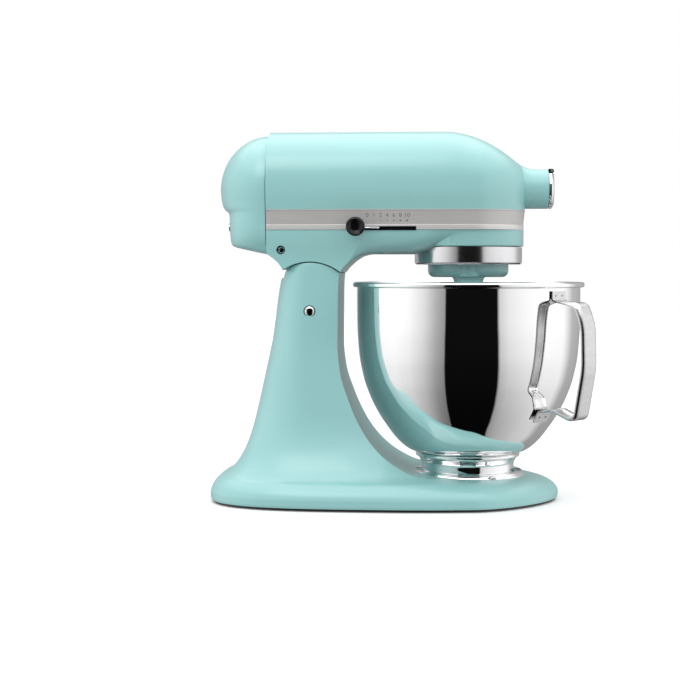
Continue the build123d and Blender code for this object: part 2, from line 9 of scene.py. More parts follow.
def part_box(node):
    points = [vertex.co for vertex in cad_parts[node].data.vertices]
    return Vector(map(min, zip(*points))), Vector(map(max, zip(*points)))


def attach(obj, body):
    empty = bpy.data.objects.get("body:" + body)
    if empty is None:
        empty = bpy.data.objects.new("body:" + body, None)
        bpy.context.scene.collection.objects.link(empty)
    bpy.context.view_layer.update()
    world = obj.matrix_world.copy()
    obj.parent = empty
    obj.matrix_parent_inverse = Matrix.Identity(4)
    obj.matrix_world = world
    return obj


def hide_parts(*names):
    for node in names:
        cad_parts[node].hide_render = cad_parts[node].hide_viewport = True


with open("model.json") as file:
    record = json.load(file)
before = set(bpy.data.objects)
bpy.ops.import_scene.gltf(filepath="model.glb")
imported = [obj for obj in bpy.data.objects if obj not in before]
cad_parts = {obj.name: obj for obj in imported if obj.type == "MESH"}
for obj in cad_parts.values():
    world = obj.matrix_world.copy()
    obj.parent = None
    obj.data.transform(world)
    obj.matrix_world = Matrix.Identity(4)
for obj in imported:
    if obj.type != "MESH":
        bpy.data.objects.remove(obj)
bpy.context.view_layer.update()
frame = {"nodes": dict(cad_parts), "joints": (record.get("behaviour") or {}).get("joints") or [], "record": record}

# Everything below is in millimetres until it becomes a mesh. Along the mixer, s is measured
# forward from the bowl's axis, and z is the height above the table.
MM = 0.001
JOINTS = {joint["name"]: joint for joint in frame["joints"]}


def box_mm(node):
    low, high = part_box(node)
    return [v / MM for v in low], [v / MM for v in high]


bowl_low, bowl_high = box_mm("bowl")
AXIS = (bowl_low[0] + bowl_high[0]) / 2


def joint_mm(name):
    """Place of a joint as (s, y, z)."""
    x, y, z = (v / MM for v in JOINTS[name]["pos_m"])
    return x - AXIS, y, z


PIN_S, PIN_Z = joint_mm("head_tilt")[::2]
LOCK_S, LOCK_Z = joint_mm("lock_turn")[::2]
HINGE_S, HINGE_Z = joint_mm("hub_cover_hinge")[::2]
BEATER_Y = joint_mm("beater_spin")[1]
HUB_Z = joint_mm("hub_spin")[2]
HUB_END = box_mm("hub_hinge")[0][0] - AXIS
SEAM = -190.0              # joint between head and rear cover
HEAD_TOP = 352.9
NOSE_SQUEEZE = 0.965       # depth of the nose's round over its width
DRUM_R = 45.5              # rounded top of the column, about the tilt pin
SCREW_S, SCREW_Z = -176.0, 239.6    # screws in the flanks that hold the rear cover


def centre_mm(node):
    """Middle of a CAD node's box as (s, y, z)."""
    low, high = box_mm(node)
    s, y, z = ((a + b) / 2 for a, b in zip(low, high))
    return s - AXIS, y, z


# --- camera and light
CAMERA_S, CAMERA_Y, EYE_Z = -21.5, -1463.1, 222.7
CAMERA_TURN, CAMERA_DIP, LENS = 4.0, 2.73, 80.0


def add_object(name, data):
    made = bpy.data.objects.new(name, data)
    bpy.context.scene.collection.objects.link(made)
    return made


def make_camera():
    data = bpy.data.cameras.new("camera")
    data.lens, data.sensor_width = LENS, 36.0
    camera = add_object("camera", data)
    camera.location = Vector((AXIS + CAMERA_S, CAMERA_Y, EYE_Z)) * MM
    camera.rotation_euler = (math.radians(90 - CAMERA_DIP), 0, math.radians(CAMERA_TURN))
    bpy.context.scene.camera = camera


def area_light(name, place, aim, size, watts):
    data = bpy.data.lights.new(name, "AREA")
    data.shape, data.size, data.size_y = "RECTANGLE", size[0], size[1]
    data.energy = watts
    light = add_object(name, data)
    light.location = place
    light.rotation_euler = (Vector(aim) - Vector(place)).to_track_quat("-Z", "Y").to_euler()


def math_node(tree, operation, first, second=None, clamp=False):
    node = tree.nodes.new("ShaderNodeMath")
    node.operation, node.use_clamp = operation, clamp
    for socket, value in zip(node.inputs, (first, second)):
        if value is None:
            continue
        if isinstance(value, (int, float)):
            socket.default_value = value
        else:
            tree.links.new(value, socket)
    return node.outputs[0]


# Brightness of the studio walls by bearing from the camera's side: a dark doorway behind the camera and
# bright screens to either side of it.
WALLS = [(-170, 0.34), (-130, 0.46), (-108, 1.0), (-80, 1.05), (-62, 0.96), (-46, 0.74), (-32, 0.42),
         (-23.2, 0.30), (-22.8, 0.004), (29.3, 0.004), (29.7, 0.60), (40, 0.80), (56, 0.92), (85, 1.05),
         (112, 1.0), (132, 0.46), (170, 0.34)]
WALL_LEVEL = 1.4           # the walls as a polished surface mirrors them
SOFT_LEVEL = 1.02          # the even light that reaches a matt surface
GLOW_FROM, GLOW_RISE, GLOW_LEVEL = 0.42, 4.0, 2.3    # height, steepness and brightness of the ceiling
FLOOR_SHADE, FLOOR_SHADE_SOFT = 0.62, 0.27
DOORWAY_LEAN = -0.31       # swings downward looks towards the dark doorway


def make_world():
    """White to the camera. To the mixer it is a room of soft screens under a bright ceiling."""
    world = bpy.data.worlds.new("studio")
    bpy.context.scene.world = world
    world.use_nodes = True
    tree = world.node_tree
    tree.nodes.clear()
    split = tree.nodes.new("ShaderNodeSeparateXYZ")
    tree.links.new(tree.nodes.new("ShaderNodeTexCoord").outputs["Generated"], split.inputs[0])
    height = split.outputs["Z"]
    below = math_node(tree, "MAXIMUM", math_node(tree, "MULTIPLY", height, DOORWAY_LEAN), 0.0)
    ahead = math_node(tree, "SUBTRACT", below, split.outputs["Y"])
    bearing = math_node(tree, "ARCTAN2", split.outputs["X"], ahead)
    turned = math_node(tree, "ADD", math_node(tree, "DIVIDE", bearing, 2 * math.pi), 0.5)
    ramp = tree.nodes.new("ShaderNodeValToRGB")
    tree.links.new(turned, ramp.inputs[0])
    marks = ramp.color_ramp.elements
    marks.remove(marks[1])
    marks[0].color = (WALLS[0][1],) * 3 + (1,)
    for degrees, level in WALLS:
        marks.new(degrees / 360 + 0.5).color = (level, level, level, 1)
    above = math_node(tree, "SUBTRACT", height, GLOW_FROM)
    ceiling = math_node(tree, "MULTIPLY", above, GLOW_RISE, clamp=True)
    ray = tree.nodes.new("ShaderNodeLightPath")
    diffuse = ray.outputs["Is Diffuse Ray"]
    glow = math_node(tree, "MULTIPLY", ceiling, math_node(tree, "SUBTRACT", GLOW_LEVEL, diffuse))
    crisp = math_node(tree, "MULTIPLY", ramp.outputs[0], WALL_LEVEL)
    softer = math_node(tree, "MULTIPLY", diffuse, FLOOR_SHADE_SOFT)
    dimming = math_node(tree, "SUBTRACT", FLOOR_SHADE, softer)
    lower = math_node(tree, "MINIMUM", height, 0.0)
    ground = math_node(tree, "ADD", math_node(tree, "MULTIPLY", lower, dimming), 1.0)
    soft = math_node(tree, "MULTIPLY", diffuse, SOFT_LEVEL)
    walls = math_node(tree, "MULTIPLY", math_node(tree, "MAXIMUM", crisp, soft), ground)
    studio = tree.nodes.new("ShaderNodeBackground")
    tree.links.new(math_node(tree, "MAXIMUM", walls, glow), studio.inputs["Strength"])
    plain = tree.nodes.new("ShaderNodeBackground")
    plain.inputs["Color"].default_value = (1, 1, 1, 1)
    mix = tree.nodes.new("ShaderNodeMixShader")
    tree.links.new(ray.outputs["Is Camera Ray"], mix.inputs[0])
    tree.links.new(studio.outputs[0], mix.inputs[1])
    tree.links.new(plain.outputs[0], mix.inputs[2])
    tree.links.new(mix.outputs[0], tree.nodes.new("ShaderNodeOutputWorld").inputs[0])


make_camera()
make_world()
area_light("key", (-0.5, -1.1, 1.5), (-0.02, 0, 0.25), (0.9, 0.9), 5)
area_light("top", (0, 0.1, 1.7), (0, 0, 0.1), (1.5, 1.2), 4.5)
bpy.context.scene.view_settings.view_transform = "Standard"


# --- materials
def finish_material(name, colour, vary=0.04, rough=0.3, metal=0.0, coat=0.0, grain=60.0,
                    stretch=(1, 1, 1), bump=0.0, bump_grain=900.0, rough_vary=0.05, spread=0.02):
    """A procedural finish: colour and roughness wander with a noise, and a finer one gives relief."""
    made = bpy.data.materials.new(name)
    made.use_nodes = True
    tree = made.node_tree
    shader = tree.nodes["Principled BSDF"]
    shader.inputs["Metallic"].default_value = metal
    shader.inputs["Coat Weight"].default_value = coat
    shader.inputs["Coat Roughness"].default_value = spread
    where = tree.nodes.new("ShaderNodeTexCoord").outputs["Object"]
    mapping = tree.nodes.new("ShaderNodeMapping")
    mapping.inputs["Scale"].default_value = stretch
    tree.links.new(where, mapping.inputs["Vector"])

    def noise(scale, detail):
        node = tree.nodes.new("ShaderNodeTexNoise")
        node.inputs["Scale"].default_value = scale
        node.inputs["Detail"].default_value = detail
        tree.links.new(mapping.outputs[0], node.inputs["Vector"])
        return node.outputs["Fac"]

    slow = noise(grain, 3)
    ramp = tree.nodes.new("ShaderNodeValToRGB")
    for element, scale in zip(ramp.color_ramp.elements, (1 - vary, 1 + vary)):
        element.color = [min(1.0, c * scale) for c in colour] + [1.0]
    ramp.color_ramp.elements[0].position = 0.3
    ramp.color_ramp.elements[1].position = 0.7
    tree.links.new(slow, ramp.inputs[0])
    tree.links.new(ramp.outputs[0], shader.inputs["Base Color"])
    spanned = tree.nodes.new("ShaderNodeMapRange")
    spanned.inputs["To Min"].default_value = max(0.0, rough - rough_vary)
    spanned.inputs["To Max"].default_value = rough + rough_vary
    tree.links.new(slow, spanned.inputs[0])
    tree.links.new(spanned.outputs[0], shader.inputs["Roughness"])
    if bump:
        relief = tree.nodes.new("ShaderNodeBump")
        relief.inputs["Strength"].default_value = 1.0
        relief.inputs["Distance"].default_value = bump * MM
        tree.links.new(noise(bump_grain, 2), relief.inputs["Height"])
        tree.links.new(relief.outputs[0], shader.inputs["Normal"])
    return made


enamel = finish_material("enamel", (0.30, 0.60, 0.595), 0.02, 0.40, coat=0.7, grain=14, bump=0.004,
                         bump_grain=420, spread=0.24)
band_metal = finish_material("band_metal", (0.56, 0.55, 0.54), 0.05, 0.45, 0.25, grain=60,
                             stretch=(1, 1, 30), bump=0.004, bump_grain=200)
# The lip is the band's own metal, painted lighter: a painted highlight for the light its rounded edge catches.
lip_metal = finish_material("lip_metal", (0.72, 0.71, 0.70), 0.03, 0.35, 0.3, grain=60,
                            stretch=(1, 1, 30), bump=0.002, bump_grain=200)
chrome = finish_material("chrome", (0.80, 0.80, 0.81), 0.01, 0.05, 1.0, grain=30, rough_vary=0.02)
brushed_ring = finish_material("brushed_ring", (0.74, 0.74, 0.75), 0.03, 0.17, 1.0, grain=80,
                               stretch=(1, 1, 24), bump=0.001, bump_grain=160)
mirror_steel = finish_material("mirror_steel", (0.93, 0.93, 0.935), 0.01, 0.035, 1.0, grain=20,
                               rough_vary=0.015)
handle_steel = finish_material("handle_steel", (0.66, 0.66, 0.665), 0.05, 0.21, 1.0, grain=60,
                               stretch=(1, 1, 6))
bowl_inside = finish_material("bowl_inside", (0.66, 0.66, 0.67), 0.03, 0.24, 1.0, grain=70,
                              stretch=(1, 1, 18), bump=0.001, bump_grain=160)
black_gloss = finish_material("black_gloss", (0.004, 0.004, 0.0045), 0.2, 0.10, grain=90)
black_gloss.node_tree.nodes["Principled BSDF"].inputs["Specular IOR Level"].default_value = 0.28
black_matte = finish_material("black_matte", (0.022, 0.022, 0.023), 0.2, 0.5, grain=120, bump=0.01)
rubber = finish_material("rubber", (0.03, 0.03, 0.03), 0.2, 0.75, grain=150, bump=0.02)
steel = finish_material("steel", (0.55, 0.55, 0.56), 0.06, 0.28, 1.0, grain=90, bump=0.002)
iron = finish_material("iron", (0.20, 0.20, 0.21), 0.12, 0.5, 0.9, grain=150, stretch=(20, 1, 1),
                       bump=0.01)
cast_alloy = finish_material("cast_alloy", (0.50, 0.50, 0.51), 0.08, 0.48, 0.9, grain=120, bump=0.02)
bronze = finish_material("bronze", (0.55, 0.36, 0.14), 0.08, 0.33, 1.0, grain=120, bump=0.004)
copper = finish_material("copper", (0.55, 0.20, 0.08), 0.14, 0.35, 0.9, grain=300, stretch=(1, 8, 1),
                         bump=0.03)
board = finish_material("board", (0.02, 0.13, 0.05), 0.2, 0.4, grain=200, bump=0.006)
print_ink = finish_material("print_ink", (0.16, 0.16, 0.17), 0.08, 0.45, grain=300)

NODE_FINISH = {
    "enamel": enamel, "band": band_metal, "chrome": chrome, "polished_steel": mirror_steel,
    "black_plastic": black_gloss, "grey_plastic": black_matte, "rubber": rubber, "steel": steel,
    "laminations": iron, "die_cast": cast_alloy, "bronze": bronze, "copper": copper,
    "board_green": board,
}
for part in frame["record"]["subparts"]:
    node = frame["nodes"].get(part["node"])
    if node:
        node.data.materials.clear()
        node.data.materials.append(NODE_FINISH[part["material_slot"]])


# --- curves
def clamp(value, low=0.0, high=1.0):
    return max(low, min(high, value))


def ease(t):
    t = clamp(t)
    return t * t * (3 - 2 * t)


def lerp(a, b, t):
    return a + (b - a) * t


def spread(first, last, count):
    return [lerp(first, last, i / (count - 1)) for i in range(count)]


def track(stations, x):
    """Smooth monotone curve through (x, value) stations."""
    if x <= stations[0][0]:
        return stations[0][1]
    if x >= stations[-1][0]:
        return stations[-1][1]
    i = max(k for k in range(len(stations) - 1) if stations[k][0] <= x)

    def secant(k):
        return (stations[k + 1][1] - stations[k][1]) / (stations[k + 1][0] - stations[k][0])

    def slope(k):
        if k == 0 or k == len(stations) - 1:
            return secant(min(k, len(stations) - 2))
        a, b = secant(k - 1), secant(k)
        return 0.0 if a * b <= 0 else 2 * a * b / (a + b)

    (x0, y0), (x1, y1) = stations[i], stations[i + 1]
    span = x1 - x0
    t = (x - x0) / span
    return ((2 * t ** 3 - 3 * t ** 2 + 1) * y0 + (t ** 3 - 2 * t ** 2 + t) * span * slope(i)
            + (3 * t ** 2 - 2 * t ** 3) * y1 + (t ** 3 - t ** 2) * span * slope(i + 1))


def bezier(p0, p1, p2, p3, t):
    u = 1 - t
    return tuple(u ** 3 * a + 3 * u * u * t * b + 3 * u * t * t * c + t ** 3 * d
                 for a, b, c, d in zip(p0, p1, p2, p3))


def rounded(corners, steps=5, closed=True):
    """A 2-D outline with its corners rounded. Each corner is (x, y) or (x, y, radius)."""
    points = []
    count = len(corners)
    for i, corner in enumerate(corners):
        radius = corner[2] if len(corner) > 2 else 0.0
        here = Vector(corner[:2])
        if not radius or (not closed and i in (0, count - 1)):
            points.append(tuple(here))
            continue
        back = Vector(corners[i - 1][:2]) - here
        ahead = Vector(corners[(i + 1) % count][:2]) - here
        half_turn = back.angle(ahead) / 2
        reach = min(radius / math.tan(half_turn), back.length * 0.49, ahead.length * 0.49)
        start, end = here + back.normalized() * reach, here + ahead.normalized() * reach
        centre = here + (back.normalized() + ahead.normalized()).normalized() * (reach / math.cos(half_turn))
        a, b = start - centre, end - centre
        swing = a.angle_signed(b)
        for k in range(steps + 1):
            angle = -swing * k / steps
            turned = Vector((a.x * math.cos(angle) - a.y * math.sin(angle),
                             a.x * math.sin(angle) + a.y * math.cos(angle)))
            points.append(tuple(centre + turned))
    return points


# --- meshes
def new_piece(name, points, faces, material, body, slot=None, sharp=40.0, merge=0.0):
    mesh = bpy.data.meshes.new(name)
    mesh.from_pydata([tuple(Vector(p) * MM) for p in points], [], faces)
    work = bmesh.new()
    work.from_mesh(mesh)
    if merge:
        bmesh.ops.remove_doubles(work, verts=work.verts, dist=merge * MM)
    bmesh.ops.dissolve_degenerate(work, edges=work.edges, dist=1e-7)
    bmesh.ops.recalc_face_normals(work, faces=work.faces)
    work.to_mesh(mesh)
    work.free()
    mesh.materials.append(material)
    piece = add_object(name, mesh)
    shade(piece, sharp)
    if body:
        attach(piece, body)
    return piece


def shade(piece, sharp=40.0):
    piece.data.shade_smooth()
    piece.data.set_sharp_from_angle(angle=math.radians(sharp))


def turn_about_bowl(piece, degrees):
    """Turns a mesh about the bowl's axis."""
    middle = Matrix.Translation((AXIS * MM, 0, 0))
    piece.data.transform(middle @ Matrix.Rotation(math.radians(degrees), 4, "Z") @ middle.inverted())


def bake_modifiers(piece):
    """Replaces the mesh by what its modifiers make of it."""
    graph = bpy.context.evaluated_depsgraph_get()
    graph.update()
    made = bpy.data.meshes.new_from_object(piece.evaluated_get(graph))
    piece.modifiers.clear()
    piece.data = made


def combine(piece, other, operation):
    """Boolean of a piece with another object, which is used up."""
    step = piece.modifiers.new("combine", "BOOLEAN")
    step.operation, step.solver, step.object = operation, "EXACT", other
    bake_modifiers(piece)
    bpy.data.objects.remove(other)
    shade(piece)


def soften(piece, width):
    """Bevels the sharp edges of a piece."""
    step = piece.modifiers.new("bevel", "BEVEL")
    step.width, step.segments, step.limit_method = width * MM, 3, "ANGLE"
    bake_modifiers(piece)
    shade(piece, 50)


def grid_faces(rows, columns, wrap_rows=False, wrap_columns=False):
    """Quads over a grid of points listed row by row."""
    faces = []
    for i in range(rows if wrap_rows else rows - 1):
        for j in range(columns if wrap_columns else columns - 1):
            a, b = i * columns, (i + 1) % rows * columns
            k = (j + 1) % columns
            faces.append((a + j, a + k, b + k, b + j))
    return faces


def mirrored(rows, side):
    """Points and faces of half rows on one side, 1 or -1, followed by their mirror image."""
    count, offset = len(rows[0]), len(rows) * len(rows[0])
    points = [(AXIS + s, side * y, z) for row in rows for s, y, z in row]
    points += [(x, -y, z) for x, y, z in points]
    faces = grid_faces(len(rows), count)
    return points, faces + [tuple(offset + k for k in reversed(face)) for face in faces]


def lathe(name, profile, material, body, centre=(0, 0), steps=144, axis="z", **extra):
    """Turns a closed (r, h) outline about an axis. centre is (s, y) for z, (y, z) for x, (s, z) for y."""
    points = []
    for k in range(steps):
        a = 2 * math.pi * k / steps
        for r, h in profile:
            u, v = r * math.cos(a), r * math.sin(a)
            if axis == "z":
                points.append((AXIS + centre[0] + u, centre[1] + v, h))
            elif axis == "x":
                points.append((AXIS + h, centre[0] + u, centre[1] + v))
            else:
                points.append((AXIS + centre[0] + u, h, centre[1] + v))
    faces = grid_faces(steps, len(profile), wrap_rows=True, wrap_columns=True)
    return new_piece(name, points, faces, material, body, merge=0.002, **extra)


def block(name, low, high, material, body, bevel=0.0, **extra):
    """A box from (s, y, z) to (s, y, z) with rounded edges."""
    corners = [(AXIS + (low, high)[i][0], (low, high)[j][1], (low, high)[k][2])
               for i in (0, 1) for j in (0, 1) for k in (0, 1)]
    faces = [(0, 1, 3, 2), (4, 6, 7, 5), (0, 4, 5, 1), (2, 3, 7, 6), (0, 2, 6, 4), (1, 5, 7, 3)]
    piece = new_piece(name, corners, faces, material, body, **extra)
    if bevel:
        soften(piece, bevel)
    return piece


def slab(name, outline, y0, y1, material, body, bevel=0.0, **extra):
    """Extrudes an (s, z) outline from y0 to y1."""
    count = len(outline)
    points = [(AXIS + s, y, z) for y in (y0, y1) for s, z in outline]
    faces = [tuple(range(count)), tuple(range(2 * count - 1, count - 1, -1))]
    faces += [(i, (i + 1) % count, count + (i + 1) % count, count + i) for i in range(count)]
    piece = new_piece(name, points, faces, material, body, **extra)
    if bevel:
        soften(piece, bevel)
    return piece


def disc_profile(r, low, high, edge=0.4):
    """Closed outline of a solid disc with softened rims."""
    return rounded([(0, low), (r, low, edge), (r, high, edge), (0, high)], 4)


# --- head shell
SHOULDER = 297.0           # where the flanks turn into the head's arched top
BAND_LOW, BAND_LIP, BAND_TOP = 258.4, 263.3, 277.4
NOSE_FROM = -24.0          # where the head's top and flanks begin to draw in towards the nose
NOSE_LOW = 243.0
SKIRT_R, SKIRT_TOP, RECESS_R = 52.8, 262.0, 51.9
CRADLE_R = DRUM_R + 1.0
CRADLE_REAR, CRADLE_FRONT = PIN_S - 25.6, PIN_S + 28.6
FLANK_W, SHOULDER_W = 53.9, 59.0    # half widths of the head at the band and at the shoulder


def head_top(s):
    return HEAD_TOP - 0.00608 * max(0.0, s - NOSE_FROM) ** 2


def head_width(s):
    return lerp(SHOULDER_W, 57.5, ease((s - NOSE_FROM) / 24.0))


def side_width(z, width):
    """Half width of the head's flank at height z: nearly upright, leaning in below the shoulder."""
    upper = FLANK_W + (width - FLANK_W) * ease((z - 260.0) / 37.0)
    return upper - 4.7 * ease((258.0 - z) / 34.0)


def underside(s):
    """Height of the head's underside along the mixer, with the cradle over the column."""
    if CRADLE_REAR <= s <= CRADLE_FRONT:
        return PIN_Z + math.sqrt(CRADLE_R ** 2 - (s - PIN_S) ** 2)
    if s < CRADLE_REAR:
        return track([(-197, 237.6), (SEAM, 235.6), (-186, 233.4), (-180, 228.6), (-176.8, 224.6),
                      (CRADLE_REAR, 220.8)], s)
    return track([(CRADLE_FRONT, 218.6), (-118, 222.0), (-114.5, 225.6), (-108, 230.8), (-100.5, 234.6),
                  (-92, 236), (-54, 236), (-40, 238.8), (-25, 243.4), (-18, 244)], s)


def roll_size(s):
    """Width and height of the rounded lower edge: wide along the arm, tight at the neck."""
    neck = ease((s + 196) / 12) * ease((-94 - s) / 22)
    return lerp(21.0, 0.9, neck), lerp(22.0, 0.9, neck)


ARCH_STEPS, SIDE_STEPS, ROLL_STEPS, FLOOR_STEPS = 30, 26, 12, 8
ARCH_POWER = 2.35


def head_row(s, swing=None):
    """Half section from the top line to the bottom line. swing turns it round the nose, in radians."""
    around = 1.0 if swing is None else math.sin(swing)
    ahead = 0.0 if swing is None else math.cos(swing) * NOSE_SQUEEZE
    width, (roll_w, roll_h) = head_width(s), roll_size(s)
    x_arch = s + width * ahead
    points = []
    for i in range(ARCH_STEPS):
        a = math.pi / 2 * (1 - i / ARCH_STEPS)
        y = width * around * math.cos(a) ** (2 / ARCH_POWER)
        z = SHOULDER + (head_top(x_arch) - SHOULDER) * math.sin(a) ** (2 / ARCH_POWER)
        points.append((x_arch, y, z))
    low = underside(s)
    lean = [(side_width(z, width), z) for z in spread(SHOULDER, low + roll_h, SIDE_STEPS)]
    edge_r = lean[-1][0]
    for i in range(1, ROLL_STEPS + 1):
        a = math.pi / 2 * i / ROLL_STEPS
        lean.append((edge_r - roll_w * (1 - math.cos(a)), low + roll_h * (1 - math.sin(a))))
    inner = edge_r - roll_w
    lean += [(inner * (1 - i / FLOOR_STEPS), low) for i in range(1, FLOOR_STEPS + 1)]
    points += [(s + r * ahead, r * around, z) for r, z in lean]
    return points


def head_rows():
    marks = (spread(SEAM + 0.4, -183, 8) + spread(-182, CRADLE_REAR - 0.3, 8)
             + spread(CRADLE_REAR, CRADLE_FRONT, 34) + spread(CRADLE_FRONT + 0.3, -92, 22)
             + spread(-90, -24, 26) + spread(-21, 0, 8))
    rows = [head_row(s) for s in marks]
    rows += [head_row(0.0, math.pi / 2 * (1 - k / 40)) for k in range(1, 41)]
    return rows


def hub_barrel():
    """Barrel of the hub as a closed solid. Its root flares into the nose, most above and least below."""
    points, steps = [], 96
    radius = box_mm("hub_cover")[1][1] - 0.25
    root, root_end, root_flare = 44, 67, 8.5
    stations = spread(root, root_end + 1, 20) + [HUB_END - 0.9, HUB_END - 0.25, HUB_END, HUB_END]
    shrink = [0] * 21 + [0.12, 0.75, radius]
    for s, inset in zip(stations, shrink):
        for k in range(steps):
            a = 2 * math.pi * k / steps
            grown = max(0.0, (root_end - s) / (root_end - root)) ** 2.4
            r = radius + root_flare * grown * (0.5 + 0.5 * math.sin(a)) - inset
            points.append((AXIS + s, r * math.cos(a), HUB_Z + r * math.sin(a)))
    faces = grid_faces(len(stations), steps, wrap_columns=True)
    faces.append(tuple(range(steps)))
    return new_piece("hub_root", points, faces, enamel, None, merge=0.002)


def build_head_shell():
    rows = head_rows()
    points, faces = mirrored(rows, -1)
    count, offset = len(rows[0]), len(points) // 2
    faces.append(tuple(range(count)) + tuple(offset + k for k in range(count - 2, 0, -1)))
    return new_piece("motor_housing_shell", points, faces, enamel, "head", slot="enamel", merge=0.01)


def build_housing():
    housing = build_head_shell()
    skirt = rounded([(0, NOSE_LOW), (SKIRT_R, NOSE_LOW, 1.4), (SKIRT_R, SKIRT_TOP), (0, SKIRT_TOP)], 5)
    combine(housing, lathe("skirt", skirt, enamel, None, steps=192), "UNION")
    combine(housing, hub_barrel(), "UNION")
    recess = [(0, 200), (RECESS_R, 200), (RECESS_R, NOSE_LOW - 0.4), (0, NOSE_LOW - 0.4)]
    combine(housing, lathe("recess", recess, enamel, None), "DIFFERENCE")
    for side in (-1, 1):
        hole = lathe("hole", disc_profile(4.2, side * 49 - 4.0, side * 49 + 8.0), enamel, None,
                     centre=(SCREW_S, SCREW_Z), axis="y", steps=40)
        combine(housing, hole, "DIFFERENCE")
    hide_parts("motor_housing")


TONGUE_TOP = 232.0         # inside the head, above its cradle
TONGUE_LOW = PIN_Z - 10.0


def build_tongue():
    """The part of the head between the column's ears, thinner over its full width than at its core."""
    wide = rounded([(PIN_S - 12, TONGUE_LOW, 8), (PIN_S + 13, TONGUE_LOW, 8), (PIN_S + 20.5, TONGUE_TOP),
                    (PIN_S + 16.5, TONGUE_TOP)], 6)
    slab("head_tongue", wide, -30.4, 30.4, enamel, "head", slot="enamel", bevel=0.8)
    core = rounded([(PIN_S - 15, TONGUE_LOW, 8), (PIN_S + 10, TONGUE_LOW, 8), (PIN_S + 12, TONGUE_TOP),
                    (PIN_S - 24, TONGUE_TOP)], 6)
    slab("head_tongue_core", core, -15.8, 15.8, enamel, "head", slot="enamel", bevel=0.8)


build_housing()
build_tongue()


# --- rear cover
DOME = HEAD_TOP - SHOULDER - 3.2
COVER_LOW, COVER_REACH, COVER_W = 235.4, 48.9, 57.3    # underside, length and half width at the shoulder
COVER_STEPS = 40


def rear_rows():
    """Levels of the rear cover from its underside to its top: a dome over a squarer lower part."""
    low_reach = [(COVER_LOW, 0.4), (236.5, 7.0), (238.6, 17.0), (240.7, 26.5), (242.6, 34.0), (244, 36.8),
                 (247, 38.3), (253, 38.9), (262, 39.4), (271, 39.8), (275.2, 40.8), (278.4, 44.4),
                 (282, 46.6), (288, 48.1), (SHOULDER, COVER_REACH)]
    rows = []
    levels = spread(COVER_LOW, 244, 11) + spread(245.5, 270, 10) + spread(271.5, SHOULDER, 18)
    levels += [SHOULDER + DOME * math.sin(math.radians(a)) for a in spread(2.5, 90, 36)]
    for z in levels:
        if z > SHOULDER:
            level = math.sqrt(max(0.0, 1 - ((z - SHOULDER) / DOME) ** 2))
            reach, wide = COVER_REACH * level, COVER_W * level
        elif z > BAND_LOW:
            reach, wide = track(low_reach, z), side_width(z, COVER_W)
        else:
            roll = clamp((BAND_LOW - z) / 22.0)
            reach, wide = track(low_reach, z), 53.6 - 21 * (1 - math.sqrt(max(0.0, 1 - roll ** 2)))
        power = lerp(2.5, 2.0, ease((z - 262) / 25))
        row = []
        for k in range(COVER_STEPS):
            a = math.pi / 2 * k / (COVER_STEPS - 1)
            back = reach * math.cos(a) ** (2 / power)
            row.append((SEAM - 0.3 - back, wide * math.sin(a) ** (2 / power), z))
        rows.append(row)
    return rows


def build_rear_cover():
    rows = rear_rows()
    points, faces = mirrored(rows, 1)
    count, offset = len(rows[0]), len(points) // 2
    edge = [i * count + count - 1 for i in range(len(rows))]
    faces += [(a, b, offset + b, offset + a) for a, b in zip(edge, edge[1:])]
    faces.append(tuple(range(count)) + tuple(offset + k for k in range(count - 1, 0, -1)))
    cover = new_piece("rear_cover_shell", points, faces, enamel, "head", slot="enamel", merge=0.01)
    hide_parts("rear_cover")


def build_cord_gland():
    profile = rounded([(3.7, 243.5), (4.4, 242.6, 0.4), (6.3, 242.6, 0.5), (6.3, 251), (3.7, 251)], 3)
    gland = lathe("cord_gland_turned", profile, rubber, "head", slot="rubber", steps=48,
                  centre=centre_mm("cord_gland")[:2])
    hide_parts("cord_gland")


build_rear_cover()
build_cord_gland()


# --- trim band
FACE_LOW, FACE_HIGH = BAND_LIP - 0.6, BAND_TOP - 1.3    # edges of the band's flat face
FACE_PROUD = 0.35          # how far it stands out from the head


def band_path():
    """(s, swing) stations along the band: straight along the flank, then round the nose."""
    path = [(s, None) for s in spread(SEAM + 0.6, 0, 60)]
    return path + [(0.0, math.pi / 2 * (1 - k / 48)) for k in range(1, 49)]


def band_face(s, z):
    """Half width of the band's flat face, which runs straight from its lower lip to its top edge."""
    width = head_width(s)
    rise = (z - FACE_LOW) / (FACE_HIGH - FACE_LOW)
    return FACE_PROUD + lerp(side_width(FACE_LOW, width), side_width(FACE_HIGH, width), rise)


def band_point(s, swing, proud, z):
    around = 1.0 if swing is None else math.sin(swing)
    ahead = 0.0 if swing is None else math.cos(swing) * NOSE_SQUEEZE
    r = side_width(z, head_width(s)) + proud
    return s + r * ahead, r * around, z


def band_strip(name, profile, material):
    """Sweeps a closed (proud, z) profile along the flank and round the nose to the other flank."""
    path = band_path()
    rows = [[band_point(s, swing, proud, z) for proud, z in profile] for s, swing in path]
    rows += [[(s, -y, z) for s, y, z in row] for row in reversed(rows[:-1])]
    points = [(AXIS + s, y, z) for row in rows for s, y, z in row]
    count = len(profile)
    faces = grid_faces(len(rows), count, wrap_columns=True)
    faces += [tuple(range(count)), tuple(range(len(points) - 1, len(points) - count - 1, -1))]
    return new_piece(name, points, faces, material, "head", slot="band", sharp=30)


def build_band():
    main = [(-0.8, FACE_LOW), (FACE_PROUD, FACE_LOW), (FACE_PROUD, FACE_HIGH), (0.62, BAND_TOP - 1.1),
            (0.62, BAND_TOP - 0.2), (FACE_PROUD, BAND_TOP), (-0.8, BAND_TOP)]
    strip = band_strip("trim_band_strip", main, band_metal)
    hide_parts("trim_band")
    # The lower lip uses the lighter lip metal, a painted highlight on the band's own metal.
    lip = rounded([(-0.8, BAND_LOW), (0.85, BAND_LOW, 0.5), (0.85, BAND_LIP, 0.5), (-0.8, BAND_LIP)], 4)
    band_strip("trim_band_lip", lip, lip_metal)


build_band()


